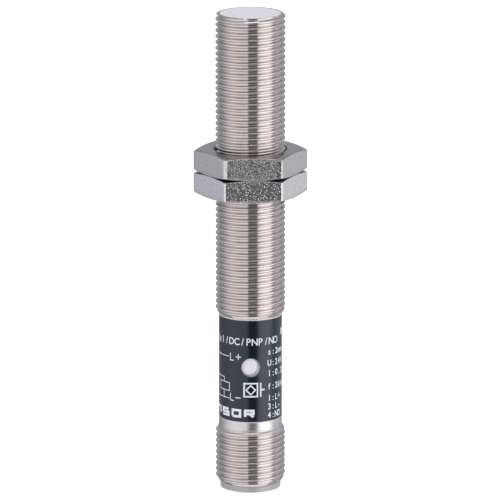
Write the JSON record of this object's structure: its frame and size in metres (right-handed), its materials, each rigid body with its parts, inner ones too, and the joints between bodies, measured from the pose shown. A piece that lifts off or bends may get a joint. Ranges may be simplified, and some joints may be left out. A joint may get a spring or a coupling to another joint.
{
  "type": "inductive proximity sensor",
  "caption": "Slim threaded stainless tube with a pale sensing face, thin hexagon lock nuts, a black label band with a round light window, and a plug connector end.",
  "frame": {"origin": "on the tube's axis at the connector end, the lowest point of the contact carrier's flange", "axes": "+Z along the tube towards the sensing face, -Y out of the LED window and the label's front, +X to the right seen from there"},
  "size_m": [0.0194, 0.0172, 0.0826],
  "materials": {
    "stainless_tube": "machined stainless steel with rolled thread",
    "stainless_nut": "machined stainless steel, finely speckled faces",
    "cap_plastic": "off-white satin moulded plastic",
    "carrier_plastic": "grey satin moulded plastic",
    "window_plastic": "milky translucent plastic",
    "label_black": "black printed film, satin",
    "seal_rubber": "black rubber",
    "retainer_plastic": "black moulded plastic",
    "ferrite": "dark grey sintered ferrite",
    "bobbin_plastic": "natural moulded plastic",
    "copper_wire": "enamelled copper",
    "shield_brass": "thin brass sheet",
    "board_laminate": "green board laminate",
    "chip_black": "black moulded package",
    "capacitor_body": "tan ceramic",
    "led_body": "clear resin over phosphor",
    "potting_resin": "dark cast resin",
    "contact_gold": "gold-plated contact",
    "tinned_wire": "tinned copper wire"
  },
  "bodies": {
    "sensor": {"housing_tube": "stainless_tube", "sensing_cap": "cap_plastic", "shield_band": "shield_brass", "ferrite_core": "ferrite", "coil_bobbin": "bobbin_plastic", "coil_winding": "copper_wire", "coil_lead_start": "copper_wire", "coil_lead_end": "copper_wire", "core_retainer": "retainer_plastic", "retainer_o_ring": "seal_rubber", "circuit_board": "board_laminate", "sensor_chip": "chip_black", "output_transistor": "chip_black", "voltage_regulator": "chip_black", "suppressor_diode": "chip_black", "buffer_capacitor": "capacitor_body", "ceramic_capacitors": "capacitor_body", "chip_resistors": "chip_black", "status_led": "led_body", "led_window": "window_plastic", "potting_resin": "potting_resin", "contact_carrier": "carrier_plastic", "carrier_o_ring": "seal_rubber", "contact_pin_1": "contact_gold", "contact_pin_2": "contact_gold", "contact_pin_3": "contact_gold", "contact_pin_4": "contact_gold", "lead_wire_1": "tinned_wire", "lead_wire_2": "tinned_wire", "lead_wire_3": "tinned_wire", "lead_wire_4": "tinned_wire", "label_film": "label_black"},
    "upper_nut": {"lock_nut_upper": "stainless_nut"},
    "lower_nut": {"lock_nut_lower": "stainless_nut"}
  },
  "joints": [
    {"name": "upper_nut_slide", "type": "slide", "parent": "sensor", "child": "upper_nut", "axis": [0, 0, 1], "range_m": [0, 0.022]},
    {"name": "lower_nut_slide", "type": "slide", "parent": "sensor", "child": "lower_nut", "axis": [0, 0, 1], "range_m": [-0.02, 0]}
  ]
}
